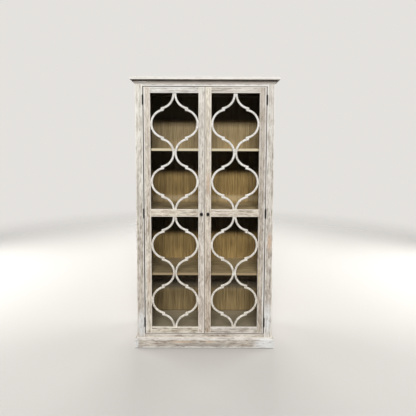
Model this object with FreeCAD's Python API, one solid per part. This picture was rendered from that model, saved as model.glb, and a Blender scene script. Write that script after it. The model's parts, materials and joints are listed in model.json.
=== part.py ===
import FreeCAD, Part
import math
import os

from FreeCAD import Vector

os.makedirs("parts", exist_ok=True)

# A tall glazed cabinet with a pair of doors and ogee fretwork, in millimetres.
# The origin is the middle of the footprint on the floor. The front faces -Y, and +Z is up.
# Left and right are as seen by someone who stands in front of the doors.

# Case
height = 2134.0
case_width = 1072.0
case_depth = 425.0

# Top board, and how far it stands out past the front and the sides of the case
top_thick = 20.0
overhang = 32.0

# Corner posts and the rails tenoned between them. The side mid rail rises a little
# over the middle shelf, whose cleat it carries.
post_width = 58.0
post_depth = 45.0
cross_rail_thick = 22.0
front_top_rail_height = 44.0
front_bottom_rail_height = 92.0
rear_top_rail_height = 60.0
side_rail_thick = 30.0
side_top_rail_height = 60.0
side_bottom_rail_height = 92.0
side_mid_rail_height = 60.0
side_mid_rail_rise = 7.0
rail_lift = 20.0
case_tenon_thick = 10.0
case_tenon_length = 28.0
case_tenon_shoulder = 12.0

# Side panels, which sit in grooves
panel_thick = 12.0
panel_setback = 12.0
groove_depth = 8.0

# Upright boards of the back, half-lapped, which lie in a rebate in the rear posts
back_thick = 10.0
back_rebate = 12.0
back_board_count = 10
back_board_gap = 1.0
back_lap = 7.0
back_bevel = 2.0

# Floor, shelves and the cleats that carry them; shelf heights are to the upper face
floor_height = 100.0
floor_thick = 22.0
shelf_thick = 22.0
shelf_setback = 38.0
upper_shelf_height = 1598.5
middle_shelf_height = 1113.0
lower_shelf_height = 600.0
cleat_width = 22.0
cleat_height = 22.0

# Cornice moulding under the top board: it leans out, slightly hollow, between two fillets
cornice_height = 28.0
cornice_top_reach = 16.0
cornice_top_fillet = 3.0
cornice_foot_reach = 2.0
cornice_foot_fillet = 1.5
cornice_hollow = 1.5

# Plinth boards, with a bevelled upper edge and the foot eased against splinters
plinth_height = 81.0
plinth_thick = 19.0
plinth_lip = 4.0
plinth_bevel_height = 14.0
plinth_foot_ease = 3.0

# Doors, with the gaps beside the hinges, above, below and between them
door_thick = 22.0
door_gap = 3.2
head_gap = 4.5
foot_gap = 4.0
meeting_gap = 2.4
hinge_stile_width = 53.5
meeting_stile_width = 48.3
door_top_rail_height = 45.5
door_mid_rail_height = 57.5
door_bottom_rail_height = 46.5
door_tenon_thick = 8.0
door_tenon_length = 28.0
door_tenon_shoulder = 12.0

# Glazing rebate at the back of each light, and what it holds from front to back
rebate_width = 10.0
rebate_front = 7.0
fret_thick = 7.0
glass_thick = 3.0

# Fretwork: stacked ogee lanterns cut from one board for each light. The patterns lie a
# little below the middle of their lights, and the border is hidden in the rebate.
fret_bar = 16.5
fret_twin_lap = 1.0
fret_bite = 1.0
fret_joint_step = 14.0
fret_joint_lap = 23.0
upper_fret_drop = 9.0
lower_fret_drop = 4.0
lanterns_in_light = 2

# Butt hinges
hinge_height = 76.0
hinge_top_inset = 97.0
hinge_bottom_inset = 91.5
knuckle_count = 3
knuckle_radius = 4.8
knuckle_gap = 0.4
pin_radius = 2.8
pin_clearance = 0.05
pin_stand = 5.4
leaf_thick = 1.8
leaf_gap = 0.5
leaf_depth = 18.0
barrel_sides = 12

# Knobs
knob_radius = 12.5
knob_length = 27.0
knob_neck_radius = 5.5
knob_face_radius = 3.0
knob_flange_radius = 9.0
knob_flange_thick = 2.5
knob_drop = 5.0
knob_sides = 20
knob_head_bands = 5

# Magnetic catches behind the front top rail, and the strikes on the doors
catch_width = 44.0
catch_depth = 15.0
catch_above = 18.0
catch_below = 20.0
catch_clearance = 0.4
catch_offset = 70.0
strike_width = 40.0
strike_height = 13.0
strike_thick = 1.2
strike_inset = 4.0

# Fits and finishing
slack = 0.5
ease = 1.5
overrun = 5.0

# Main planes and spans of the case
front = overhang - (case_depth + overhang) / 2
back = front + case_depth
case_half = case_width / 2
case_top = height - top_thick
opening_half = case_half - post_width
opening_bottom = rail_lift + front_bottom_rail_height
opening_top = case_top - front_top_rail_height
back_face = back - back_thick
floor_under = floor_height - floor_thick

# Door and light spans of the left door
door_left = door_gap - opening_half
door_right = -meeting_gap / 2
door_bottom = opening_bottom + foot_gap
door_top = opening_top - head_gap
door_back = front + door_thick
light_left = door_left + hinge_stile_width
light_right = door_right - meeting_stile_width
rails_height = door_top_rail_height + door_mid_rail_height + door_bottom_rail_height
light_height = (door_top - door_bottom - rails_height) / 2
lower_light_bottom = door_bottom + door_bottom_rail_height
lower_light_top = lower_light_bottom + light_height
upper_light_bottom = lower_light_top + door_mid_rail_height
upper_light_top = upper_light_bottom + light_height
fret_front = front + rebate_front
glass_front = fret_front + fret_thick
bead_front = glass_front + glass_thick

# Hinge axis of the left door
axis_x = door_gap / 2 - opening_half
axis_y = front - pin_stand


def board(span):
    """A straight board that fills a span (x0, x1, y0, y1, z0, z1)."""
    x0, x1, y0, y1, z0, z1 = span
    return Part.makeBox(x1 - x0, y1 - y0, z1 - z0, Vector(x0, y0, z0))


def grown(span, by):
    """The span made larger by the same amount on all six sides."""
    x0, x1, y0, y1, z0, z1 = span
    return (x0 - by, x1 + by, y0 - by, y1 + by, z0 - by, z1 + by)


def mirrored(shape):
    """The same piece on the other side of the cabinet."""
    return shape.mirror(Vector(0, 0, 0), Vector(1, 0, 0))


def eased(solid, amount, wanted):
    """Bevel the straight edges whose middle point is picked by wanted."""
    edges = [edge for edge in solid.Edges if wanted(edge.CenterOfMass)]
    return solid.makeChamfer(amount, edges)


def near(a, b):
    """True where two coordinates are the same."""
    return math.isclose(a, b, abs_tol=slack / 10)


def outline_prism(points, along):
    """A prism: a closed outline of points pushed along a vector."""
    return Part.Face(Part.makePolygon(points + points[:1])).extrude(along)


# Posts, rails and panels of the case


def post(y0, y1):
    """A left corner post, full height, with its outer and inner front edges eased."""
    blank = board((-case_half, -opening_half, y0, y1, 0, case_top))
    return eased(blank, ease, lambda c: near(c.y, y0) and near(c.z, case_top / 2))


def case_cross_rail(y0, z0, z1):
    """A rail between the left and right posts, with a stub tenon at each end."""
    body = board((-opening_half, opening_half, y0, y0 + cross_rail_thick, z0, z1))
    tenon_y = y0 + (cross_rail_thick - case_tenon_thick) / 2
    tenon = board((
        -opening_half - case_tenon_length, opening_half + case_tenon_length,
        tenon_y, tenon_y + case_tenon_thick,
        z0 + case_tenon_shoulder, z1 - case_tenon_shoulder,
    ))
    return body.fuse(tenon).removeSplitter()


def side_rail(z0, z1):
    """A left side rail between the front and rear posts, with stub tenons."""
    y0 = front + post_depth
    y1 = back - post_depth
    body = board((-case_half, -case_half + side_rail_thick, y0, y1, z0, z1))
    tenon_x = -case_half + (side_rail_thick - case_tenon_thick) / 2
    tenon = board((
        tenon_x, tenon_x + case_tenon_thick,
        y0 - case_tenon_length * side_tenon_share, y1 + case_tenon_length * side_tenon_share,
        z0 + case_tenon_shoulder, z1 - case_tenon_shoulder,
    ))
    return body.fuse(tenon).removeSplitter()


# The side tenons are shorter, so that they end clear of the front rails' tenons.
side_tenon_share = 0.8

panel_outer = -case_half + panel_setback
panel_inner = panel_outer + panel_thick
side_rail_inner = -case_half + side_rail_thick


def side_panel_span(z0, z1):
    """The span of a side panel that shows between the rails at z0 and z1."""
    return (
        panel_outer, panel_inner,
        front + post_depth - groove_depth, back - post_depth + groove_depth,
        z0 - groove_depth, z1 + groove_depth,
    )


back_span = (
    -opening_half - back_rebate, opening_half + back_rebate,
    back_face, back, rail_lift, case_top,
)


def back_board(index):
    """One upright board of the back. Its rear half laps behind the next board to the right."""
    x0, x1, y0, y1, z0, z1 = back_span
    pitch = (x1 - x0) / back_board_count
    left = x0 + pitch * index + back_board_gap / 2
    right = left + pitch - back_board_gap
    tongue_front = (y0 + y1 + slack) / 2
    notch_front = (y0 + y1 - slack) / 2
    plan = [(left, y0 + back_bevel), (left + back_bevel, y0),
            (right - back_bevel, y0), (right, y0 + back_bevel)]
    if index < back_board_count - 1:
        tongue_end = right + back_lap
        plan += [(right, tongue_front), (tongue_end, tongue_front), (tongue_end, y1)]
    else:
        plan.append((right, y1))
    if index > 0:
        notch_end = left + back_lap
        plan += [(notch_end, y1), (notch_end, notch_front), (left, notch_front)]
    else:
        plan.append((left, y1))
    return outline_prism([Vector(x, y, z0) for x, y in plan], Vector(0, 0, z1 - z0))


def post_spaces():
    """The four corners that floor and shelves are notched around."""
    spaces = []
    for y0 in (front, back - post_depth):
        left = board(grown((-case_half, -opening_half, y0, y0 + post_depth, 0, case_top), slack))
        spaces += [left, mirrored(left)]
    return spaces


def notched_board(reach, y0, y1, z1, thick):
    """A shelf or floor board whose upper face is at z1, notched around the posts."""
    blank = board((-reach, reach, y0, y1, z1 - thick, z1))
    blank = eased(blank, ease, lambda c: near(c.y, y0) and near(c.x, 0))
    return blank.cut(post_spaces())


def cleat(inner_face, under):
    """A strip on the left side that carries a board whose lower face is at under."""
    y0 = front + post_depth
    y1 = back - post_depth
    return board((inner_face, inner_face + cleat_width, y0, y1, under - cleat_height, under))


# Mouldings around the front and sides


def profile_face(points, arc_at, to_world):
    """Close a moulding profile. The stretch that starts at index arc_at is a hollow arc."""
    edges = []
    index = 0
    while index < len(points):
        start = points[index]
        if index == arc_at:
            edges.append(Part.Arc(to_world(start), to_world(points[index + 1]),
                                  to_world(points[index + 2])).toShape())
            index += 2
        else:
            end = points[(index + 1) % len(points)]
            edges.append(Part.LineSegment(to_world(start), to_world(end)).toShape())
            index += 1
    return Part.Face(Part.Wire(edges))


def mitre_space(reach, side):
    """Plan wedge that trims a moulding at 45 degrees; side is front or left."""
    if side == "front":
        plan = [(-case_half, front), (case_half, front),
                (case_half + reach, front - reach), (-case_half - reach, front - reach)]
    else:
        plan = [(-case_half, front), (-case_half, back),
                (-case_half - reach, back), (-case_half - reach, front - reach)]
    return outline_prism([Vector(x, y, 0) for x, y in plan], Vector(0, 0, height))


def moulding(points, arc_at, reach, side):
    """A length of moulding on the front or the left side, mitred where they meet."""
    if side == "front":
        start = -case_half - reach
        face = profile_face(points, arc_at, lambda p: Vector(start, front - p[0], p[1]))
        run = face.extrude(Vector(case_width + reach + reach, 0, 0))
    else:
        start = front - reach
        face = profile_face(points, arc_at, lambda p: Vector(-case_half - p[0], start, p[1]))
        run = face.extrude(Vector(0, case_depth + reach, 0))
    return run.common(mitre_space(reach, side))


def cornice_points():
    """Cornice profile as (reach from the case, height), with the hollow's middle point."""
    low = case_top - cornice_height
    hollow_start = (cornice_foot_reach, low + cornice_foot_fillet)
    hollow_end = (cornice_top_reach, case_top - cornice_top_fillet)
    run = hollow_end[0] - hollow_start[0]
    rise = hollow_end[1] - hollow_start[1]
    slope = math.hypot(run, rise)
    hollow_middle = (hollow_start[0] + run / 2 - cornice_hollow * rise / slope,
                     hollow_start[1] + rise / 2 + cornice_hollow * run / slope)
    return [
        (0, low), (cornice_foot_reach, low),
        hollow_start, hollow_middle, hollow_end,
        (cornice_top_reach, case_top), (0, case_top),
    ]


cornice_arc_at = 2


def plinth_points():
    """Plinth profile as (reach from the case, height)."""
    return [
        (0, 0), (plinth_thick - plinth_foot_ease, 0), (plinth_thick, plinth_foot_ease),
        (plinth_thick, plinth_height - plinth_bevel_height),
        (plinth_lip, plinth_height), (0, plinth_height),
    ]


# Left door


def rebate_space(z0, z1):
    """The glazing rebate around the light between z0 and z1, open at the back."""
    return board((
        light_left - rebate_width, light_right + rebate_width,
        fret_front, door_back + overrun,
        z0 - rebate_width, z1 + rebate_width,
    ))


def rebated(member):
    """Cut both glazing rebates out of a stile or rail."""
    spaces = [rebate_space(lower_light_bottom, lower_light_top),
              rebate_space(upper_light_bottom, upper_light_top)]
    return member.cut(spaces).removeSplitter()


def door_stile(x0, x1):
    """A full-height door stile, before its mortises, hinge beds and holes."""
    blank = board((x0, x1, front, door_back, door_bottom, door_top))
    middle = (door_bottom + door_top) / 2
    return eased(blank, ease, lambda c: near(c.y, front) and near(c.z, middle))


def door_rail(z0, z1):
    """A door rail with a stub tenon at each end."""
    blank = board((light_left, light_right, front, door_back, z0, z1))
    middle = (light_left + light_right) / 2
    blank = eased(blank, ease, lambda c: near(c.y, front) and near(c.x, middle))
    tenon = board((
        light_left - door_tenon_length, light_right + door_tenon_length,
        fret_front, fret_front + door_tenon_thick,
        z0 + door_tenon_shoulder, z1 - door_tenon_shoulder,
    ))
    return blank.fuse(tenon).removeSplitter()


def panel_span(y0, thick, z0, z1, tight):
    """The span of a pane or fret board that lies in the rebate around a light."""
    inset = rebate_width - tight
    return (light_left - inset, light_right + inset, y0, y0 + thick, z0 - inset, z1 + inset)


def glazing_beads(z0, z1):
    """Four mitred beads that hold the glass of one light from behind."""
    outer = rebate_width - slack
    ox0, ox1, oz0, oz1 = light_left - outer, light_right + outer, z0 - outer, z1 + outer
    corners_out = [(ox0, oz0), (ox1, oz0), (ox1, oz1), (ox0, oz1)]
    corners_in = [(light_left, z0), (light_right, z0), (light_right, z1), (light_left, z1)]
    beads = []
    for index in range(len(corners_out)):
        after = (index + 1) % len(corners_out)
        plan = [corners_out[index], corners_out[after], corners_in[after], corners_in[index]]
        points = [Vector(x, bead_front, z) for x, z in plan]
        beads.append(outline_prism(points, Vector(0, door_back - bead_front, 0)))
    return beads


# Fretwork. Each half lantern is two arcs of one radius that run upright at both ends.
# They don't flow into each other: a square step parts them halfway out.


def arc_bar(centre_x, centre_z, radius, start_deg, end_deg):
    """One curved bar of constant width, with square ends."""
    def point(r, deg):
        angle = math.radians(deg)
        return Vector(centre_x + r * math.cos(angle), fret_front, centre_z + r * math.sin(angle))

    middle_deg = (start_deg + end_deg) / 2
    outer = radius + fret_bar / 2
    inner = radius - fret_bar / 2
    edges = [
        Part.Arc(point(outer, start_deg), point(outer, middle_deg), point(outer, end_deg)).toShape(),
        Part.LineSegment(point(outer, end_deg), point(inner, end_deg)).toShape(),
        Part.Arc(point(inner, end_deg), point(inner, middle_deg), point(inner, start_deg)).toShape(),
        Part.LineSegment(point(inner, start_deg), point(outer, start_deg)).toShape(),
    ]
    return Part.Face(Part.Wire(edges)).extrude(Vector(0, fret_thick, 0))


def half_lantern(mid_x, mid_z, half_width, half_height):
    """The three bars on the right of a lantern whose centre is (mid_x, mid_z)."""
    twin_x = (fret_bar - fret_twin_lap) / 2
    widest_x = half_width + fret_bite - fret_bar / 2
    joint_x = (twin_x + widest_x) / 2
    run = joint_x - twin_x
    rise = (half_height - fret_joint_step) / 2
    radius = (rise * rise + run * run) / (run + run)
    hollow_x = twin_x + radius
    bulge_x = widest_x - radius
    hollow_end = math.degrees(math.acos((hollow_x - joint_x - fret_joint_lap / 2) / radius))
    bulge_end = math.degrees(math.acos((joint_x - fret_joint_lap / 2 - bulge_x) / radius))
    return [
        arc_bar(mid_x + hollow_x, mid_z + half_height, radius, 180, 180 + hollow_end),
        arc_bar(mid_x + bulge_x, mid_z, radius, -bulge_end, bulge_end),
        arc_bar(mid_x + hollow_x, mid_z - half_height, radius, 180 - hollow_end, 180),
    ]


def fretwork(z0, z1, drop):
    """The fret board of one light: a border in the rebate, and the stacked lanterns."""
    blank = board(panel_span(fret_front, fret_thick, z0, z1, slack))
    sight = board((light_left, light_right, fret_front - overrun, glass_front + overrun, z0, z1))
    mid_x = (light_left + light_right) / 2
    half_width = (light_right - light_left) / 2
    half_height = (z1 - z0) / (2 * lanterns_in_light)
    twin_reach = fret_bar - fret_twin_lap / 2
    bars = [board((mid_x - twin_reach, mid_x + twin_reach,
                   fret_front, glass_front, z1 - drop, z1 + fret_bite))]
    for index in range(lanterns_in_light):
        mid_z = z0 + half_height * (2 * index + 1) - drop
        for bar in half_lantern(mid_x, mid_z, half_width, half_height):
            bars += [bar, bar.mirror(Vector(mid_x, 0, 0), Vector(1, 0, 0))]
    return blank.cut(sight).multiFuse(bars).common(blank).removeSplitter()


# Hinges, knobs and catches


def regular_corners(radius, sides):
    """The corners of an outline with equal sides, as pairs; they lie at the radius."""
    turn = 2 * math.pi / sides
    return [(radius * math.cos(turn * i), radius * math.sin(turn * i)) for i in range(sides)]


def barrel(z0, z1, radius):
    """A bar on the hinge axis with a few flat sides, which lie no closer than the radius."""
    corners = regular_corners(radius / math.cos(math.pi / barrel_sides), barrel_sides)
    points = [Vector(axis_x + a, axis_y + b, z0) for a, b in corners]
    return outline_prism(points, Vector(0, 0, z1 - z0))


def leaf_span(z0, side, y0):
    """The plate of a leaf from y0 to its rear edge; side is -1 on the post, 1 on the door."""
    near_x = axis_x + side * leaf_gap / 2
    far_x = near_x + side * leaf_thick
    return (min(near_x, far_x), max(near_x, far_x), y0, front + leaf_depth, z0, z0 + hinge_height)


def hinge_leaf(z0, side):
    """A hinge leaf with its knuckles, clear of the knuckles of the other leaf."""
    pitch = hinge_height / knuckle_count
    rings = []
    spaces = []
    for index in range(knuckle_count):
        low = z0 + pitch * index
        high = low + pitch
        own = (index % 2 == 0) == (side == -1)
        if own:
            rings.append(barrel(low + knuckle_gap / 2, high - knuckle_gap / 2, knuckle_radius))
        else:
            spaces.append(barrel(low - knuckle_gap / 2, high + knuckle_gap / 2,
                                 knuckle_radius + leaf_gap))
    bore = barrel(z0 - overrun, z0 + hinge_height + overrun, pin_radius + pin_clearance)
    plate = board(leaf_span(z0, side, axis_y)).cut(spaces)
    return plate.multiFuse(rings).removeSplitter().cut(bore)


def leaf_bed(z0, side):
    """The shallow bed for a leaf in the edge of the post or of the hinge stile."""
    return board(leaf_span(z0, side, front - overrun))


def hinge_pin(z0):
    """A pin through all the knuckles, flush with the outer ones."""
    return Part.makeCylinder(pin_radius, hinge_height, Vector(axis_x, axis_y, z0))


def knob(x, z):
    """A knob on a flange, turned about an axis that points to the front, in flat bands."""
    centre = knob_length - knob_radius
    neck_angle = -math.acos(knob_neck_radius / knob_radius)
    front_angle = math.acos(knob_face_radius / knob_radius)
    step = (front_angle - neck_angle) / knob_head_bands
    profile = [(knob_flange_radius, 0), (knob_flange_radius, knob_flange_thick),
               (knob_neck_radius, knob_flange_thick + knob_flange_thick)]
    for index in range(knob_head_bands + 1):
        angle = neck_angle + step * index
        profile.append((knob_radius * math.cos(angle), centre + knob_radius * math.sin(angle)))
    rings = [[Vector(x + a, front - reach, z + b) for a, b in regular_corners(radius, knob_sides)]
             for radius, reach in profile]
    loops = [rings[0], rings[-1]]
    for ring, after in zip(rings, rings[1:]):
        for side in range(knob_sides):
            beside = (side + 1) % knob_sides
            loops.append([ring[side], ring[beside], after[beside], after[side]])
    faces = [Part.Face(Part.makePolygon(loop + loop[:1])) for loop in loops]
    return Part.Solid(Part.Shell(faces))


def catch():
    """The left catch: a block behind the top rail that steps down in front of the strike."""
    rail_back = front + cross_rail_thick
    block_front = door_back + strike_thick + catch_clearance
    block_back = max(rail_back, block_front) + catch_depth
    plan = [
        (rail_back, opening_top), (rail_back, opening_top + catch_above),
        (block_back, opening_top + catch_above), (block_back, opening_top - catch_below),
        (block_front, opening_top - catch_below), (block_front, opening_top),
    ]
    x0 = -catch_offset - catch_width / 2
    return outline_prism([Vector(x0, y, z) for y, z in plan], Vector(catch_width, 0, 0))


def strike():
    """The plate on the back of the left door that the catch holds."""
    x0 = -catch_offset - strike_width / 2
    z1 = door_top - strike_inset
    plate = board((x0, x0 + strike_width, door_back, door_back + strike_thick,
                   z1 - strike_height, z1))
    middle = door_back + strike_thick / 2
    return eased(plate, ease, lambda c: near(c.y, middle))


# Assembly. Pieces of the left half are made here and mirrored where the right needs them.

pieces = {}


def add_pair(left_name, right_name, shape):
    """Keep a left piece and its mirror image."""
    pieces[left_name] = shape
    pieces[right_name] = mirrored(shape)


pieces["top_board"] = eased(
    board((-case_half - overhang, case_half + overhang, front - overhang, back, case_top, height)),
    ease, lambda c: not near(c.y, back) and not near(c.z, (case_top + height) / 2),
)

pieces["cornice_front"] = moulding(cornice_points(), cornice_arc_at, cornice_top_reach, "front")
add_pair("cornice_left", "cornice_right",
         moulding(cornice_points(), cornice_arc_at, cornice_top_reach, "left"))
pieces["plinth_front"] = moulding(plinth_points(), None, plinth_thick, "front")
add_pair("plinth_left", "plinth_right", moulding(plinth_points(), None, plinth_thick, "left"))

pieces["front_top_rail"] = case_cross_rail(front, opening_top, case_top)
pieces["front_bottom_rail"] = case_cross_rail(front, rail_lift, opening_bottom)
rear_rail_front = back_face - cross_rail_thick
pieces["rear_top_rail"] = case_cross_rail(rear_rail_front, case_top - rear_top_rail_height, case_top)
pieces["rear_bottom_rail"] = case_cross_rail(rear_rail_front, rail_lift, floor_under)
cross_rails = [pieces[name] for name in
               ("front_top_rail", "front_bottom_rail", "rear_top_rail", "rear_bottom_rail")]

mid_rail_top = middle_shelf_height + side_mid_rail_rise
mid_rail_bottom = mid_rail_top - side_mid_rail_height
bottom_rail_top = rail_lift + side_bottom_rail_height
top_rail_bottom = case_top - side_top_rail_height
side_rails = {
    "side_top_rail": side_rail(top_rail_bottom, case_top),
    "side_mid_rail": side_rail(mid_rail_bottom, mid_rail_top),
    "side_bottom_rail": side_rail(rail_lift, bottom_rail_top),
}
side_panels = {
    "upper_side_panel": side_panel_span(mid_rail_top, top_rail_bottom),
    "lower_side_panel": side_panel_span(bottom_rail_top, mid_rail_bottom),
}
grooves = [board(grown(span, slack / 2)) for span in side_panels.values()]
post_cuts = cross_rails + list(side_rails.values()) + grooves

hinge_middles = [door_top - hinge_top_inset, door_bottom + hinge_bottom_inset]
hinge_middles.insert(1, sum(hinge_middles) / 2)
hinge_starts = [middle - hinge_height / 2 for middle in hinge_middles]

front_post = post(front, front + post_depth).cut(post_cuts)
front_post = front_post.cut([leaf_bed(z0, -1) for z0 in hinge_starts])
rear_post = post(back - post_depth, back).cut(post_cuts + [board(back_span)])
add_pair("front_post_left", "front_post_right", front_post)
add_pair("rear_post_left", "rear_post_right", rear_post)
for name, rail in side_rails.items():
    add_pair(name + "_left", name + "_right", rail.cut(grooves))
for name, span in side_panels.items():
    add_pair(name + "_left", name + "_right", board(span))
pieces["back_boards"] = Part.makeCompound([back_board(i) for i in range(back_board_count)])

# Each board in the case: how high its upper face is, its thickness, how far behind the
# front it starts, and the inner face of the side that carries its cleat.
case_boards = {
    "floor_board": (floor_height, floor_thick, cross_rail_thick, side_rail_inner),
    "upper_shelf": (upper_shelf_height, shelf_thick, shelf_setback, panel_inner),
    "middle_shelf": (middle_shelf_height, shelf_thick, shelf_setback, side_rail_inner),
    "lower_shelf": (lower_shelf_height, shelf_thick, shelf_setback, panel_inner),
}
cleats = []
for name, (top, thick, setback, inner_face) in case_boards.items():
    pieces[name] = notched_board(-inner_face - slack, front + setback,
                                 back_face - slack, top, thick)
    cleats.append(cleat(inner_face, top - thick))
pieces["shelf_cleats"] = Part.makeCompound(cleats + [mirrored(c) for c in cleats])

# Fixed hinge leaves, pins and catches belong to the case.
fixed_leaves = [hinge_leaf(z0, -1) for z0 in hinge_starts]
pins = [hinge_pin(z0) for z0 in hinge_starts]
pieces["fixed_hinge_leaves"] = Part.makeCompound(fixed_leaves + [mirrored(s) for s in fixed_leaves])
pieces["hinge_pins"] = Part.makeCompound(pins + [mirrored(s) for s in pins])
pieces["catch_magnets"] = Part.makeCompound([catch(), mirrored(catch())])

# Left door
rails = {
    "top_rail": door_rail(upper_light_top, door_top),
    "mid_rail": door_rail(lower_light_top, upper_light_bottom),
    "bottom_rail": door_rail(door_bottom, lower_light_bottom),
}

hinge_stile = rebated(door_stile(door_left, light_left)).cut(list(rails.values()))
hinge_stile = hinge_stile.cut([leaf_bed(z0, 1) for z0 in hinge_starts])
meeting_stile = rebated(door_stile(light_right, door_right)).cut(list(rails.values()))

door_pieces = {"hinge_stile": hinge_stile, "meeting_stile": meeting_stile}
for name, rail in rails.items():
    door_pieces[name] = rebated(rail)
lights = {"upper": (upper_light_bottom, upper_light_top, upper_fret_drop),
          "lower": (lower_light_bottom, lower_light_top, lower_fret_drop)}
beads = []
for level, (z0, z1, drop) in lights.items():
    door_pieces[level + "_fretwork"] = fretwork(z0, z1, drop)
    door_pieces[level + "_glass"] = board(panel_span(glass_front, glass_thick, z0, z1, slack * 2))
    beads += glazing_beads(z0, z1)
door_pieces["glazing_beads"] = Part.makeCompound(beads)
knob_z = (lower_light_top + upper_light_bottom) / 2 - knob_drop
door_pieces["knob"] = knob(door_right - meeting_stile_width / 2, knob_z)
door_pieces["hinge_leaves"] = Part.makeCompound([hinge_leaf(z0, 1) for z0 in hinge_starts])
door_pieces["strike_plate"] = strike()

for name, shape in door_pieces.items():
    add_pair("left_" + name, "right_" + name, shape)

for name, shape in pieces.items():
    shape.exportStep("parts/" + name + ".step")
print(len(pieces), "pieces")
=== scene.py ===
# %% [markdown]
# # A tall glazed cabinet with ogee fretwork
#
# The real cabinet is limed pine: a post at each corner, panelled sides, a boarded back, and a
# pair of glazed doors with painted fretwork in front of the glass. Its boards already exist as
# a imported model, in metres, with the front towards -Y and the floor at zero. This lesson keeps
# those boards and gives them their finish. It models again only what a plain construction
# model can't show well: the rounded fretwork, the turned knobs, the hinges and the screws.

import json
import math
import random

import bmesh
import bpy
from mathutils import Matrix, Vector


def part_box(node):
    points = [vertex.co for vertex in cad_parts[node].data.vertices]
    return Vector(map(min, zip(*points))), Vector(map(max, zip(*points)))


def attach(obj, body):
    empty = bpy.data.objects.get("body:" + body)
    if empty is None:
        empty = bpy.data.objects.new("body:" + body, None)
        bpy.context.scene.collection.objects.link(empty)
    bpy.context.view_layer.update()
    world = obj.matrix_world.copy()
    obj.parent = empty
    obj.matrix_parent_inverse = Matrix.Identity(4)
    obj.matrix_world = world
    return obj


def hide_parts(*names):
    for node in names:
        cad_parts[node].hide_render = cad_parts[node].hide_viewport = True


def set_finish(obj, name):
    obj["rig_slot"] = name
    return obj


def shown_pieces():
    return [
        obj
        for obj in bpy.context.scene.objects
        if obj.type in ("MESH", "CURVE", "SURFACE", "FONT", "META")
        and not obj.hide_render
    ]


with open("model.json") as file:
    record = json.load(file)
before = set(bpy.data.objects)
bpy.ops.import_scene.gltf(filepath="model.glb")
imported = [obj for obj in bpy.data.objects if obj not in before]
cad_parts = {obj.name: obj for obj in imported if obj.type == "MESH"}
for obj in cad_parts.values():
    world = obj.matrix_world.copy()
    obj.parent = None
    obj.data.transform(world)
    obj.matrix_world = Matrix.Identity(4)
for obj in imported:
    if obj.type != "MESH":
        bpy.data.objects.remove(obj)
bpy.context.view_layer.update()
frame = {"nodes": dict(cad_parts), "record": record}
print("boards and fittings in the frame:", len(frame["nodes"]))

# %% [markdown]
# ## Working by hand, in code
#
# An operator acts on everything that is selected, so each piece starts with nothing selected.
# In edit mode, faces and corners are picked by where they lie. These few helpers do the
# picking, so that the steps below read like the steps of a person at the screen. Points nearer
# to each other than TOUCH count as one, and a face whose normal is longer than FACING along an
# axis looks that way.

# %% Helpers for modelling
TOUCH = 0.00001
FACING = 0.99
NEARLY_HALF = 0.49


def clear_selection():
    """Leave edit mode and select nothing."""
    if bpy.context.mode != "OBJECT":
        bpy.ops.object.mode_set(mode="OBJECT")
    bpy.ops.object.select_all(action="DESELECT")


def activate(piece):
    """Make this the one piece that operators act on."""
    clear_selection()
    piece.select_set(True)
    bpy.context.view_layer.objects.active = piece


def edit(piece):
    """Open a piece in edit mode with nothing selected in it."""
    activate(piece)
    bpy.ops.object.mode_set(mode="EDIT")
    bpy.ops.mesh.select_all(action="DESELECT")


def pick(kind, wanted):
    """Select the corners ("verts"), edges or faces that wanted() is true for."""
    bpy.ops.mesh.select_mode(type={"verts": "VERT", "edges": "EDGE", "faces": "FACE"}[kind])
    bpy.ops.mesh.select_all(action="DESELECT")
    shape = bmesh.from_edit_mesh(bpy.context.object.data)
    for part in getattr(shape, kind):
        if wanted(part):
            part.select_set(True)
    shape.select_flush_mode()
    bmesh.update_edit_mesh(bpy.context.object.data)


def close_up(piece, smooth_deg=35):
    """Merge doubles, turn all faces outwards and shade the soft edges smooth."""
    edit(piece)
    bpy.ops.mesh.select_all(action="SELECT")
    bpy.ops.mesh.remove_doubles(threshold=TOUCH)
    bpy.ops.mesh.normals_make_consistent(inside=False)
    bpy.ops.object.mode_set(mode="OBJECT")
    bpy.ops.object.shade_smooth_by_angle(angle=math.radians(smooth_deg))


def settle(piece):
    """Put a piece's place, turn and size into its mesh, and its origin at zero."""
    activate(piece)
    bpy.ops.object.transform_apply(location=True, rotation=True, scale=True)
    return piece


def moved_copy(piece, name, shift):
    """A copy with its own mesh, moved and settled."""
    twin = piece.copy()
    twin.data = piece.data.copy()
    twin.name = name
    bpy.context.scene.collection.objects.link(twin)
    twin.location = shift
    return settle(twin)


def mirrored_copy(piece, name):
    """The same piece on the other side of the cabinet, with its faces outwards again."""
    twin = moved_copy(piece, name, (0, 0, 0))
    twin.scale = (-1, 1, 1)
    settle(twin)
    close_up(twin)
    return twin


def joined(pieces, name):
    """Several pieces made one."""
    activate(pieces[0])
    for piece in pieces[1:]:
        piece.select_set(True)
    bpy.ops.object.join()
    bpy.context.object.name = name
    return bpy.context.object


def with_modifier(piece, kind, **settings):
    """Add a modifier, set it and apply it."""
    activate(piece)
    modifier = piece.modifiers.new(kind.title(), kind)
    for setting, value in settings.items():
        setattr(modifier, setting, value)
    bpy.ops.object.modifier_apply(modifier=modifier.name)


def finished(piece, body, slot_name, *nodes):
    """Hand a new piece to the frame: what it rides on, its finish and what it stands for."""
    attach(piece, body)
    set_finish(piece, slot_name)
    if nodes:
        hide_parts(*nodes)
    print(piece.name, "on", body, "with", len(piece.data.polygons), "faces")


print("helpers ready")

# %% [markdown]
# ## Fretwork
#
# Each light holds two ogee lanterns, one above the other. On the real doors they are bars
# about as wide as a finger, rounded at the front, and where the outward curve meets the inward
# one the two bars lie side by side with square ends. One quarter of a lantern holds two
# bars, each a part of a ring. A curve with a bevel could draw them, but a spin gives true rings
# in even steps. So the section of a bar is drawn once as a flat face, its corners are rounded by
# a bevel, and a spin turns it round the ring's centre. Two mirrors make the quarter a whole
# lantern.

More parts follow.
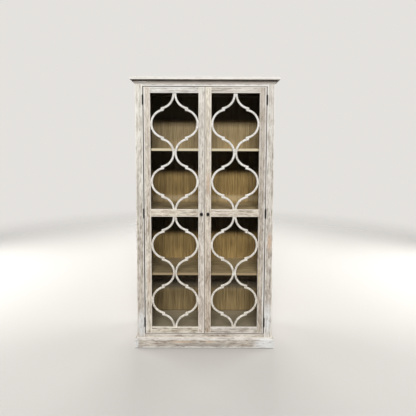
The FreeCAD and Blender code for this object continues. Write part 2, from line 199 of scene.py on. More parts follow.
# %% Sizes of the fretwork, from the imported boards
BAR = 0.0165
TWIN_LAP = 0.001
BITE = 0.001
JOINT_STEP = 0.014
JOINT_LAP = 0.023
PATTERN_DROPS = {"upper": 0.009, "lower": 0.004}
REBATE_LAP = 0.0095
LANTERNS_IN_LIGHT = 2

fret_low, fret_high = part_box("left_upper_fretwork")
fret_thick = fret_high.y - fret_low.y
half_width = (fret_high.x - fret_low.x) / 2 - REBATE_LAP
light_half = (fret_high.z - fret_low.z) / 2 - REBATE_LAP
half_height = light_half / LANTERNS_IN_LIGHT

twin_x = (BAR - TWIN_LAP) / 2
widest_x = half_width + BITE - BAR / 2
joint_x = (twin_x + widest_x) / 2
run = joint_x - twin_x
rise = (half_height - JOINT_STEP) / 2
ring = (rise * rise + run * run) / (2 * run)
hollow_x = twin_x + ring
bulge_x = widest_x - ring
hollow_turn = math.acos((hollow_x - joint_x - JOINT_LAP / 2) / ring)
bulge_turn = math.acos((joint_x - JOINT_LAP / 2 - bulge_x) / ring)
print("lantern", round(2 * half_width, 4), "by", round(2 * half_height, 4), "ring", round(ring, 4))

# %% Spin the two bars of a quarter lantern
FRONT_ROUND, FRONT_CUTS = 0.0046, 6
BACK_ROUND, BACK_CUTS = 0.0012, 2
STEP_DEG = 3.0


def spun_bar(name, x, z, centre_x, turn):
    """A bar: a flat section at (x, z), its corners rounded, spun round (centre_x, z)."""
    clear_selection()
    bpy.ops.mesh.primitive_plane_add(size=1, location=(x, 0, z))
    piece = bpy.context.object
    piece.name = name
    piece.scale = (BAR, fret_thick, 1)
    settle(piece)
    edit(piece)
    for depth, amount, cuts in ((-1, FRONT_ROUND, FRONT_CUTS), (1, BACK_ROUND, BACK_CUTS)):
        pick("verts", lambda v: v.co.y * depth > fret_thick * NEARLY_HALF)
        bpy.ops.mesh.bevel(offset=amount, segments=cuts, affect="VERTICES")
    bpy.ops.mesh.select_all(action="SELECT")
    steps = round(abs(math.degrees(turn)) / STEP_DEG)
    bpy.ops.mesh.spin(steps=steps, angle=turn, center=(centre_x, 0, z), axis=(0, 1, 0))
    close_up(piece)
    return piece


hollow = spun_bar("hollow_bar", twin_x, half_height, hollow_x, hollow_turn)
bulge = spun_bar("bulge_bar", widest_x, 0, bulge_x, -bulge_turn)
for bar in (hollow, bulge):
    print(bar.name, "measures", [round(length, 4) for length in bar.dimensions])

# %% [markdown]
# The bulging bar starts at half height with a flat end, which would stay as a wall inside the
# finished bar. So that end is deleted, and the mirror's merge closes the bar there.

# %% Mirror the quarter into a lantern
edit(bulge)
pick("faces", lambda f: abs(f.calc_center_median().z) < TOUCH and abs(f.normal.z) > FACING)
bpy.ops.mesh.delete(type="FACE")
bpy.ops.object.mode_set(mode="OBJECT")
for bar in (hollow, bulge):
    with_modifier(bar, "MIRROR", use_axis=(True, False, True), use_clip=False,
                  merge_threshold=TOUCH)
    close_up(bar)
print("bars in a lantern:", len(hollow.data.polygons), len(bulge.data.polygons))

# %% [markdown]
# The rest of the fret board is a border that the door's rebate hides. Four strips would leave
# seams, so it starts as one flat plate that is inset by the border's width, and the middle is
# bridged through to the back. The pattern sits a little low in its light, so the two upright
# ends of the top lantern are drawn up until they reach the border.

# %% The border, and two lanterns joined to it


def fret_border(name):
    """A frame as large as the fret board, around the origin."""
    clear_selection()
    bpy.ops.mesh.primitive_cube_add(size=1)
    piece = bpy.context.object
    piece.name = name
    piece.scale = fret_high - fret_low
    settle(piece)
    edit(piece)
    pick("faces", lambda f: abs(f.normal.y) > FACING)
    bpy.ops.mesh.inset(thickness=REBATE_LAP, use_even_offset=True)
    bpy.ops.mesh.bridge_edge_loops()
    close_up(piece)
    return piece


def fused(piece, *others):
    """Unite shapes that run into each other, so that no walls are left inside."""
    for other in others:
        with_modifier(piece, "BOOLEAN", operation="UNION", solver="EXACT", use_self=True,
                      object=other)
        bpy.data.objects.remove(other)
    return piece


def fret_board(name, drop):
    """The border with its lanterns, which sit lower than the middle by drop."""
    lanterns = []
    for index in range(LANTERNS_IN_LIGHT):
        offset = half_height * (2 * index + 1 - LANTERNS_IN_LIGHT) - drop
        lanterns.append(moved_copy(lantern, "lantern_copy", (0, 0, offset)))
    edit(lanterns[-1])
    pick("faces", lambda f: f.normal.z > FACING
         and abs(f.calc_center_median().z - light_half + drop) < TOUCH)
    bpy.ops.mesh.extrude_region_move(TRANSFORM_OT_translate={"value": (0, 0, drop + BITE)})
    bpy.ops.object.mode_set(mode="OBJECT")
    piece = fused(fret_border(name), *lanterns)
    close_up(piece)
    return piece


lantern = fused(hollow, bulge)
lantern.name = "lantern"
for level, drop in PATTERN_DROPS.items():
    fret = fret_board(level + "_fret", drop)
    for side in ("left", "right"):
        node = f"{side}_{level}_fretwork"
        low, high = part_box(node)
        piece = moved_copy(fret, node + "_bars", (low + high) / 2)
        finished(piece, side + "_door", "fretwork_paint", node)
    bpy.data.objects.remove(fret)
bpy.data.objects.remove(lantern)

# %% [markdown]
# ## Knobs
#
# The two iron knobs are turned, so every cut across one is a circle. An outline could be spun,
# but steps need only a list of stations, each a radius and how far it stands out from the door:
# a low foot, a neck, then a ball. One disc on the door is pulled out from station to station
# and scaled at each.

# %% Turn a knob by steps
KNOB_SIDES = 48
FOOT_RADIUS = 0.0088
NECK_RADIUS = 0.0056
HEAD_STEPS = 10
FIRST_STEP = 0.4

left_knob_low, left_knob_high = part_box("left_knob")
knob_middle = (left_knob_low + left_knob_high) / 2
knob_radius = (left_knob_high.z - left_knob_low.z) / 2
knob_length = left_knob_high.y - left_knob_low.y
knob_stations = [(0.0090, 0.0004), (0.0086, 0.0016), (0.0070, 0.0024), (NECK_RADIUS, 0.0040),
                 (0.0054, 0.0052)]
head_centre = knob_length - knob_radius
neck_angle = -math.acos(NECK_RADIUS / knob_radius)
for index in range(HEAD_STEPS):
    angle = neck_angle + (math.pi / 2 - neck_angle) * (index + FIRST_STEP) / HEAD_STEPS
    knob_stations.append((knob_radius * math.cos(angle),
                          head_centre + knob_radius * math.sin(angle)))


def turned_knob(name):
    """Pull a disc out of the door's face in steps, scaling it to each radius."""
    clear_selection()
    start = Vector((knob_middle.x, left_knob_high.y, knob_middle.z))
    bpy.ops.mesh.primitive_circle_add(vertices=KNOB_SIDES, radius=FOOT_RADIUS, fill_type="NGON",
                                      location=start, rotation=(math.radians(90), 0, 0))
    piece = settle(bpy.context.object)
    piece.name = name
    edit(piece)
    bpy.ops.mesh.select_all(action="SELECT")
    radius, reach = FOOT_RADIUS, 0.0
    for next_radius, next_reach in knob_stations:
        bpy.ops.mesh.extrude_region_move(
            TRANSFORM_OT_translate={"value": (0, reach - next_reach, 0)})
        share = next_radius / radius
        bpy.ops.transform.resize(value=(share, 1, share), center_override=start)
        radius, reach = next_radius, next_reach
    close_up(piece, smooth_deg=50)
    return piece


left_knob = turned_knob("left_knob_turned")
right_knob = mirrored_copy(left_knob, "right_knob_turned")
finished(left_knob, "left_door", "black_iron", "left_knob")
finished(right_knob, "right_door", "black_iron", "right_knob")

# %% [markdown]
# ## Hinges
#
# Each door hangs on three butt hinges. With the doors shut only the knuckles show, and the
# leaves lie in the gap. A knuckle is a short tube: a cylinder with eased rims, whose ends are
# inset to the bore and bridged through, which keeps the faces even where a boolean would not. A
# leaf is a plate whose front edge is cut into lengths, one for each knuckle, and its own lengths
# are drawn forward into the tubes.

# %% Sizes of the hinges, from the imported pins
HINGE_HEIGHT = 0.076
KNUCKLES = 3
KNUCKLE_RADIUS = 0.0048
KNUCKLE_GAP = 0.0004
LEAF_THICK = 0.0018
LEAF_GAP = 0.0005
LEAF_DEPTH = 0.018
RIM = 0.0004
PIN_CLEARANCE = 0.00005
LUG_BITE = 0.0006
BARREL_SIDES = 32

pins_low, pins_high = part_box("hinge_pins")
pin_radius = (pins_high.y - pins_low.y) / 2
bore = pin_radius + PIN_CLEARANCE
axis_x = pins_low.x + pin_radius
axis_y = pins_low.y + pin_radius
wood_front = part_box("front_post_left")[0].y
hinge_feet = [pins_low.z, (pins_low.z + pins_high.z - HINGE_HEIGHT) / 2,
              pins_high.z - HINGE_HEIGHT]
knuckle_pitch = HINGE_HEIGHT / KNUCKLES
print("hinge feet at", [round(foot, 4) for foot in hinge_feet])

# %% Knuckles, leaves and pins


def upright_bar(name, radius, z0, z1):
    """A round bar on the hinge axis with eased rims."""
    clear_selection()
    bpy.ops.mesh.primitive_cylinder_add(vertices=BARREL_SIDES, radius=radius, depth=z1 - z0,
                                        location=(axis_x, axis_y, (z0 + z1) / 2))
    piece = settle(bpy.context.object)
    piece.name = name
    edit(piece)
    pick("edges", lambda e: abs(e.verts[0].co.z - e.verts[1].co.z) < TOUCH)
    bpy.ops.mesh.bevel(offset=RIM, segments=2)
    bpy.ops.object.mode_set(mode="OBJECT")
    return piece


def knuckle(z0, z1):
    """A bar with a hole along the axis for the pin."""
    piece = upright_bar("knuckle", KNUCKLE_RADIUS, z0, z1)
    edit(piece)
    pick("faces", lambda f: abs(f.normal.z) > FACING)
    bpy.ops.mesh.inset(thickness=KNUCKLE_RADIUS - RIM - bore)
    bpy.ops.mesh.bridge_edge_loops()
    close_up(piece)
    return piece


def hinge_leaf(foot, side):
    """A leaf with its knuckles; side is -1 on the post and 1 on the door."""
    clear_selection()
    near_x = axis_x + side * LEAF_GAP / 2
    bpy.ops.mesh.primitive_cube_add(size=1, location=(
        near_x + side * LEAF_THICK / 2, wood_front + LEAF_DEPTH / 2, foot + HINGE_HEIGHT / 2))
    plate = bpy.context.object
    plate.scale = (LEAF_THICK, LEAF_DEPTH, HINGE_HEIGHT)
    settle(plate)
    edit(plate)
    for index in range(1, KNUCKLES):
        for shift in (-KNUCKLE_GAP / 2, KNUCKLE_GAP / 2):
            bpy.ops.mesh.select_all(action="SELECT")
            bpy.ops.mesh.bisect(plane_co=(0, 0, foot + knuckle_pitch * index + shift),
                                plane_no=(0, 0, 1))
    own = [i for i in range(KNUCKLES) if (i % 2 == 0) == (side == -1)]
    middles = [foot + knuckle_pitch * (i + 0.5) for i in own]
    pick("faces", lambda f: f.normal.y < -FACING
         and min(abs(f.calc_center_median().z - z) for z in middles) < knuckle_pitch / 4)
    bpy.ops.mesh.extrude_region_move(TRANSFORM_OT_translate={
        "value": (0, axis_y + bore + LUG_BITE - wood_front, 0)})
    close_up(plate)
    tubes = [knuckle(z - (knuckle_pitch - KNUCKLE_GAP) / 2, z + (knuckle_pitch - KNUCKLE_GAP) / 2)
             for z in middles]
    return fused(plate, *tubes)


fixed_leaves = [hinge_leaf(foot, -1) for foot in hinge_feet]
door_leaves = [hinge_leaf(foot, 1) for foot in hinge_feet]
pins = [upright_bar("pin", pin_radius, foot, foot + HINGE_HEIGHT) for foot in hinge_feet]
print("faces in a leaf:", len(fixed_leaves[0].data.polygons), len(door_leaves[0].data.polygons))

# %% [markdown]
# ## Screws
#
# One flat-headed screw is made: a disc with an eased rim and a slot cut across it. Real screws
# are driven by hand, so every copy is turned another way. The heads stand a tenth of a
# millimetre out of the leaf, which the gap between two leaves leaves room for.

# %% One screw head, and its copies
HEAD_RADIUS = 0.0031
HEAD_THICK = 0.0008
HEAD_PROUD = 0.0001
HEAD_EASE = 0.0001
HEAD_SIDES = 20
SLOT_WIDTH = 0.0009
SCREW_SHARES = ((0.14, 0.34), (0.5, 0.70), (0.86, 0.34))
chance = random.Random(12)


def screw_master():
    """A slotted flat head around the origin that looks along +Z."""
    clear_selection()
    bpy.ops.mesh.primitive_cube_add(size=1, location=(0, 0, HEAD_THICK / 2))
    slot_space = bpy.context.object
    slot_space.scale = (4 * HEAD_RADIUS, SLOT_WIDTH, HEAD_THICK)
    settle(slot_space)
    bpy.ops.mesh.primitive_cylinder_add(vertices=HEAD_SIDES, radius=HEAD_RADIUS, depth=HEAD_THICK)
    head = bpy.context.object
    head.name = "screw_head"
    with_modifier(head, "BOOLEAN", operation="DIFFERENCE", solver="EXACT", object=slot_space)
    bpy.data.objects.remove(slot_space)
    edit(head)
    pick("edges", lambda e: min(v.co.z for v in e.verts) > HEAD_THICK * NEARLY_HALF)
    bpy.ops.mesh.bevel(offset=HEAD_EASE, segments=1)
    close_up(head, smooth_deg=25)
    return head


def screws_at(places, outward):
    """Copies of the head at some places, sunk until they stand out by HEAD_PROUD."""
    heads = []
    for place in places:
        head = moved_copy(screw, "screw_copy", (0, 0, HEAD_PROUD - HEAD_THICK / 2))
        head.rotation_euler = (0, 0, chance.uniform(0, math.pi))
        settle(head)
        head.rotation_euler = Vector(outward).to_track_quat("Z", "Y").to_euler()
        head.location = place
        heads.append(settle(head))
    return heads


def leaf_screws(foot, side):
    """Three screws in the face of a leaf that looks at the other leaf."""
    face_x = axis_x + side * LEAF_GAP / 2
    places = [(face_x, wood_front + LEAF_DEPTH * deep, foot + HINGE_HEIGHT * high)
              for high, deep in SCREW_SHARES]
    return screws_at(places, (-side, 0, 0))


screw = screw_master()
case_parts = fixed_leaves + pins
door_parts = list(door_leaves)
for foot in hinge_feet:
    case_parts += leaf_screws(foot, -1)
    door_parts += leaf_screws(foot, 1)
left_case_hinges = joined(case_parts, "left_case_hinges")
right_case_hinges = mirrored_copy(left_case_hinges, "right_case_hinges")
case_hinges = joined([left_case_hinges, right_case_hinges], "case_hinges")
finished(case_hinges, "case", "black_iron", "fixed_hinge_leaves", "hinge_pins")
left_leaves = joined(door_parts, "left_door_hinges")
right_leaves = mirrored_copy(left_leaves, "right_door_hinges")
finished(left_leaves, "left_door", "black_iron", "left_hinge_leaves")
finished(right_leaves, "right_door", "black_iron", "right_hinge_leaves")

# %% Screws of the catches and strikes
CATCH_SCREW_RISE = 0.006
CATCH_SCREW_APART = 0.015
STRIKE_SCREW_APART = 0.012

catch_low, catch_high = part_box("catch_magnets")
catch_z = (catch_low.z + catch_high.z) / 2 + CATCH_SCREW_RISE
strike_low, strike_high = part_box("left_strike_plate")
strike_middle = (strike_low + strike_high) / 2
catch_screws = []
for direction in (-1, 1):
    for apart in (-CATCH_SCREW_APART, CATCH_SCREW_APART):
        place = (direction * abs(strike_middle.x) + apart, catch_high.y, catch_z)
        catch_screws += screws_at([place], (0, 1, 0))
finished(joined(catch_screws, "catch_screws"), "case", "catch_steel")
for side in ("left", "right"):
    low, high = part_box(side + "_strike_plate")
    middle = (low + high) / 2
    places = [(middle.x + apart, high.y, middle.z)
              for apart in (-STRIKE_SCREW_APART, STRIKE_SCREW_APART)]
    plate_screws = joined(screws_at(places, (0, 1, 0)), side + "_strike_screws")
    finished(plate_screws, side + "_door", "catch_steel")
bpy.data.objects.remove(screw)

# %% [markdown]
# ## Finishes
#
# A finish is a small net of nodes. To keep it readable, Python's own signs add the Math nodes:
# `1 - mask` or `grain * 0.4 + patch` work on the output of a node as they do on a number.
# Every other node comes from one method, which sets the node up first and then its sockets.

# %% A class for surface values


class Signal:
    """The output of a node. Signs between signals and numbers add Math nodes."""

    def __init__(self, finish, node, output):
        self.finish = finish
        self.node = node
        self.socket = node.outputs[output]

    def output(self, name):
        return Signal(self.finish, self.node, name)

    def maths(self, operation, first, second=0.0, clamp=False):
        return self.finish.node("ShaderNodeMath", {"operation": operation, "use_clamp": clamp},
                                {0: first, 1: second})

    def __add__(self, other):
        return self.maths("ADD", self, other)

    def __sub__(self, other):
        return self.maths("SUBTRACT", self, other)

    def __mul__(self, other):
        return self.maths("MULTIPLY", self, other)

    def __gt__(self, other):
        return self.maths("GREATER_THAN", self, other)

    def __lt__(self, other):
        return self.maths("LESS_THAN", self, other)

    def __rsub__(self, other):
        return self.maths("SUBTRACT", other, self)

    __radd__ = __add__
    __rmul__ = __mul__

    def __abs__(self):
        return self.maths("ABSOLUTE", self)

    def applied(self, operation):
        """A sum that takes this number alone, such as FLOOR, FRACT or SQRT."""
        return self.maths(operation, self)

    def least(self, other):
        return self.maths("MINIMUM", self, other)

    def most(self, other):
        return self.maths("MAXIMUM", self, other)

    def clamped(self):
        return self.maths("ADD", self, 0.0, clamp=True)

    def between(self, low, high):
        """0 at low, 1 at high, with soft ends."""
        return self.finish.node("ShaderNodeMapRange", {"interpolation_type": "SMOOTHSTEP"},
                                {"Value": self, "From Min": low, "From Max": high})


print("signs that add Math nodes are ready")

# %% A class for finishes


class Finish:
    """A material, or the world around it all, that is built up node by node."""

    def __init__(self, name, kind="materials"):
        self.owner = getattr(bpy.data, kind).new(name)
        self.owner.use_nodes = True
        self.tree = self.owner.node_tree
        self.tree.nodes.clear()

    def node(self, kind, settings=None, sockets=None, output=0):
        """Add a node: its settings first, then the values or links of its sockets."""
        node = self.tree.nodes.new(kind)
        for setting, value in (settings or {}).items():
            setattr(node, setting, value)
        for socket, value in (sockets or {}).items():
            if isinstance(value, Signal):
                self.tree.links.new(value.socket, node.inputs[socket])
            elif isinstance(value, tuple) and node.inputs[socket].type == "RGBA":
                node.inputs[socket].default_value = (*value, 1)
            else:
                node.inputs[socket].default_value = value
        return Signal(self, node, output)

    def place(self):
        """Where a point of the surface is, in metres."""
        return self.node("ShaderNodeTexCoord", output="Object")

    def axes(self, vector):
        split = self.node("ShaderNodeSeparateXYZ", {}, {0: vector})
        return split, split.output("Y"), split.output("Z")

    def vectors(self, operation, first, second=(0.0, 0.0, 0.0), output=0):
        return self.node("ShaderNodeVectorMath", {"operation": operation},
                         {0: first, 1: second}, output)

    def noise(self, vector, scale, detail, roughness=0.55, distortion=0.0):
        return self.node("ShaderNodeTexNoise", {}, {
            "Vector": vector, "Scale": scale, "Detail": detail, "Roughness": roughness,
            "Distortion": distortion})

    def blend(self, share, first, second, kind="MIX"):
        """Two colours mixed, where share is how much of the second shows."""
        return self.node("ShaderNodeMix", {"data_type": "RGBA", "blend_type": kind},
                         {0: share, 6: first, 7: second}, output=2)

    def surface(self, shader, kind="ShaderNodeOutputMaterial"):
        end = self.tree.nodes.new(kind)
        self.tree.links.new(shader.socket, end.inputs["Surface"])
        return self.owner

    def principled(self, colour, roughness, height, depth, **constants):
        """An opaque surface from a colour, a roughness and a height that bumps it by depth."""
        bump = self.node("ShaderNodeBump", {},
                         {"Strength": 1.0, "Distance": depth, "Height": height})
        sockets = {"Base Color": colour, "Roughness": roughness, "Normal": bump}
        for name, value in constants.items():
            sockets[name.replace("_", " ")] = value
        return self.surface(self.node("ShaderNodeBsdfPrincipled", {}, sockets))


print("finish kit ready")

# %% [markdown]
# ## Limed pine
#
# Liming leaves chalky white in the pores and hollows of pine and wipes it off the raised
# grain. So the finish is two colours, a grey-brown wood and a chalk white, and a mask that says
# how much white is left. A picture of wood would repeat from board to board. Noise that is
# squeezed along the grain does not, and three sizes of it lie over each other: patches as long
# as a hand, streaks as long as a finger, and fine pores. Growth rings and a few knots show
# through. The white stays thicker along the edges of a board, where the rag lifts off, and just
# inside them it is rubbed thin. Higher up the boards are whiter, partly from more lime and partly
# as painted light. The faces that look into the case are a dark brown that is partly painted
# shade.

# %% The parts of limed pine
WOOD_DARK = (0.175, 0.135, 0.100)
WOOD_LIGHT = (0.400, 0.330, 0.258)
CHALK = (0.830, 0.800, 0.750)
INSIDE_WOOD_AND_SHADE = (0.090, 0.064, 0.034)
FIBRE_LENGTH, FIBRE_MARKS = 0.09, 1.2
STREAK_LENGTH, STREAK_MARKS = 0.22, 2.2
PATCH_LENGTH, PATCH_MARKS = 0.42, 1.5
CHALK_LEVEL, CHALK_AND_LIGHT_HIGH_UP = 0.60, 0.10
CALM_HIGH_UP = 0.35
KNOT_CHALK, EDGE_CHALK, RUBBED_CHALK = 0.8, 0.40, 0.16
INSIDE_HALF_WIDTH = 0.5135
INSIDE_FRONT, INSIDE_BACK = -0.15, 0.228
INSIDE_TOP = 2.1139


def along_grain(finish, place, grain, shift, lengthways):
    """The place, squeezed along the grain and pushed on by shift, so that noise makes fibres."""
    squeeze = [1.0, 1.0, 1.0]
    squeeze[grain] = lengthways
    moved = finish.vectors("ADD", place, shift)
    return finish.vectors("MULTIPLY", moved, tuple(squeeze))


def from_edge(finish, place, low, high):
    """How far a point on a board's face is from the nearest edge of the board, in metres.

    Of the three distances to the sides of its box one is zero, and the next one is wanted.
    """
    middle, half = tuple((low + high) / 2), tuple((high - low) / 2)
    away = finish.vectors("ABSOLUTE", finish.vectors("SUBTRACT", place, middle))
    x, y, z = finish.axes(finish.vectors("SUBTRACT", half, away))
    return x.least(y).most(x.most(y).least(z))


def oval(finish, place, middle, reach):
    """A soft oval spot: 1 in its middle, 0 outside it."""
    away = finish.vectors("DIVIDE", finish.vectors("SUBTRACT", place, middle), reach)
    return 1 - finish.vectors("LENGTH", away, output="Value").between(0.30, 1.0)


print("grain, edge and stain masks ready")

# %% The recipe for limed pine
SOLID_STAIN = 0.9


def limed_pine(name, low, high, shift, cover_change, contrast, foot_tint, head_tint, stains):
    """Limed pine for one board. Its grain runs along the longest side of its box."""
    finish = Finish(name)
    place = finish.place()
    x, y, z = finish.axes(place)
    size = high - low
    grain = max(range(3), key=lambda axis: size[axis])
    fibres = along_grain(finish, place, grain, shift, FIBRE_LENGTH)
    streaks = along_grain(finish, place, grain, shift, STREAK_LENGTH)
    patches = along_grain(finish, place, grain, shift, PATCH_LENGTH)
    patch = finish.noise(patches, 17.0, 3.0, 0.6, 0.8)
    streak = finish.noise(streaks, 76.0, 4.0, 0.62, 1.0)
    fibre = finish.noise(fibres, 150.0, 4.0, 0.7)
    rings = finish.node("ShaderNodeTexWave",
                        {"wave_type": "RINGS", "rings_direction": "XYZ"[grain]},
                        {"Vector": fibres, "Scale": 26.0, "Distortion": 5.0, "Detail": 2.0,
                         "Detail Scale": 1.6}, output="Fac")
    wood = finish.blend((fibre * 0.7 + rings * 0.3).between(0.30, 0.70), WOOD_DARK, WOOD_LIGHT)
    # Whiter higher up: partly more lime, partly painted light that is stronger towards the top.
    level = CHALK_LEVEL + cover_change + z.between(1.1, 2.12) * CHALK_AND_LIGHT_HIGH_UP
    marks = ((patch - 0.5) * PATCH_MARKS + (streak - 0.5) * STREAK_MARKS
             + (fibre - 0.5) * FIBRE_MARKS)
    calm = 1 - z.between(0.6, 2.0) * CALM_HIGH_UP
    cover = level + marks * calm * contrast + (rings - 0.5) * 0.12
    cells = finish.node("ShaderNodeTexVoronoi", {}, {"Vector": patches, "Scale": 3.6},
                        output="Distance")
    knot = 1 - (cells + (streak - 0.5) * 0.05).between(0.018, 0.042)
    depth_in = from_edge(finish, place, low, high)
    edge = 1 - depth_in.between(0.003, 0.008)
    rubbed = depth_in.between(0.006, 0.009) * (1 - depth_in.between(0.012, 0.018))
    cover = (cover - knot * KNOT_CHALK + edge * EDGE_CHALK - rubbed * RUBBED_CHALK).clamped()
    colour = finish.blend(cover, wood, CHALK)
    tint = finish.blend(z.between(0.0, 2.1), foot_tint, head_tint)
    colour = finish.blend(1.0, colour, tint, "MULTIPLY")
    broken = ((streak - 0.5) * 3.0 + (fibre - 0.5) * 2.0 + 1).clamped()
    for middle, reach, stain, share in stains:
        spot = oval(finish, place, middle, reach) * share
        colour = finish.blend(spot * broken if share < SOLID_STAIN else spot, colour, stain)
    # Painted shade: the faces that look into the case get one dark brown, darker than the back
    # boards.
    inside = ((abs(x) < INSIDE_HALF_WIDTH) * (y > INSIDE_FRONT) * (y < INSIDE_BACK)
              * (z < INSIDE_TOP))
    colour = finish.blend(inside, colour, INSIDE_WOOD_AND_SHADE)
    return finish.principled(colour, 0.86 - cover * 0.16, cover * 0.5 + fibre * 0.5 - knot * 0.4,
                             0.0006)


print("limed pine recipe ready")

# %% [markdown]
# Each board gets its own finish from this recipe, made when the boards are given their finish
# below. What a person sees at a glance on the real cabinet is set one by one. First come boards
# that took more or less white, and that look warmer or greyer: a change of the white, then one
# tint for the board, or one for its foot and one for its head.

# %% How single boards differ
BOARDS = {
    "top_board": (0.26, (1.02, 1.01, 1.00)),
    # The cornice takes less white and is greyer: its own tone, and painted shade under the top
    # board.
    "cornice": (-0.10, (0.84, 0.82, 0.80)),
    "front_post_left": (0.0, (0.78, 0.73, 0.675), (1.07, 1.075, 1.04)),
    "front_post_right": (0.0, (0.91, 0.87, 0.82), (0.94, 0.935, 0.915)),
    "front_top_rail": (0.10, (1.00, 1.00, 1.00)),
    "front_bottom_rail": (-0.04, (0.89, 0.85, 0.80)),
    "left_hinge_stile": (0.0, (0.98, 0.93, 0.85), (0.955, 0.915, 0.85)),
    "right_hinge_stile": (-0.04, (0.78, 0.735, 0.67), (0.79, 0.75, 0.70)),
    "left_meeting_stile": (0.05, (0.93, 0.875, 0.82), (0.94, 0.93, 0.90)),
    "right_meeting_stile": (0.04, (0.87, 0.78, 0.69), (0.97, 0.93, 0.85)),
    "left_top_rail": (0.03, (0.96, 0.975, 0.98)),
    "right_top_rail": (0.04, (0.85, 0.83, 0.80)),
    "left_mid_rail": (0.02, (1.03, 0.975, 0.88)),
    "right_mid_rail": (0.02, (0.99, 0.935, 0.85)),
    "left_bottom_rail": (-0.04, (1.00, 0.96, 0.87)),
    "right_bottom_rail": (-0.04, (0.90, 0.87, 0.83)),
    "plinth_front": (-0.06, (0.80, 0.755, 0.70)),
    "plinth_left": (0.0, (0.88, 0.86, 0.82)), "plinth_right": (0.0, (0.88, 0.86, 0.82)),
}
OTHER_BOARDS = (0.06, (0.92, 0.89, 0.84))
FRONT_CONTRAST, SIDE_CONTRAST = 1.0, 0.55
print("boards set by hand:", len(BOARDS))

# %% [markdown]
# Then come the stains, each an oval or a long line. The weaker ones break up along the grain.
# Besides a few brown and bluish ones there are the dirt and painted shade in the gaps round the
# doors, the thicker white next to them, and black marks at the hinges. Painted shade makes the
# dark line where the cornice meets the top board and darkens the cornice's ends, and painted light
# brightens the plinth's top bevel and the left end of the cornice. A painted shadow runs along the
# plinth's foot.

# %% Stains
PEACH = (0.600, 0.400, 0.260)
STRAW = (0.620, 0.500, 0.270)
BROWN = (0.200, 0.130, 0.085)
GREY = (0.330, 0.300, 0.262)
BLUISH = (0.810, 0.820, 0.815)
WHITE = (0.900, 0.890, 0.860)
# Dirt and painted shade: the marks at the hinges, the dark in the gaps round the doors, and the
# painted shadow along the plinth's foot.
DIRT_AND_SHADE = (0.050, 0.042, 0.034)
# Painted shade: a brown for the shade under the top board and on the cornice.
PAINTED_SHADE_BROWN = (0.092, 0.062, 0.042)
ANY = 9.0
POST_EDGE, STILE_EDGE = 0.4790, 0.4740
POST_WHITE, STILE_WHITE = (0.4830, 0.0060), (0.4645, 0.0065)
GAP_X, GAP_REACH = 0.4780, 0.0016
MEETING_X, MEETING_REACH = 0.0012, 0.0017
MARK_SHARES, MARK_SIZE = (0.22, 0.5, 0.78), (0.0070, 0.026)


def line_stain(colour, share, **bands):
    """A stain along a board: x=(middle, reach) or z=(middle, reach) say how wide it is."""
    middle, reach = [0.0, 0.0, 0.0], [ANY, ANY, ANY]
    for axis, (at, wide) in bands.items():
        middle["xyz".index(axis)] = at
        reach["xyz".index(axis)] = wide
    return tuple(middle), tuple(reach), colour, share


def oval_stain(colour, share, x, z, half_wide, half_tall):
    """A stain on a front face, an oval around (x, z)."""
    return (x, 0.0, z), (half_wide, ANY, half_tall), colour, share


def beside_gap(direction, white, hinge_x):
    """The white line along the gap beside a door, and black rub marks at its hinges."""
    middle, reach = white
    line = line_stain(WHITE, 0.5, x=(direction * middle, reach))
    return [line] + [
        oval_stain(DIRT_AND_SHADE, 0.95, direction * hinge_x, foot + HINGE_HEIGHT * share, *MARK_SIZE)
        for foot in hinge_feet for share in MARK_SHARES]


# Painted shade under the top board and on the cornice's ends, and a painted shadow line above the
# cornice's foot.
SHADE_UNDER_TOP = line_stain(PAINTED_SHADE_BROWN, 0.66, z=(2.1145, 0.0160))
SHADOW_ABOVE_FOOT = line_stain(PAINTED_SHADE_BROWN, 0.25, z=(2.0930, 0.0055))
SIDE_SHADE = line_stain(PAINTED_SHADE_BROWN, 0.70, z=(2.095, 0.030))
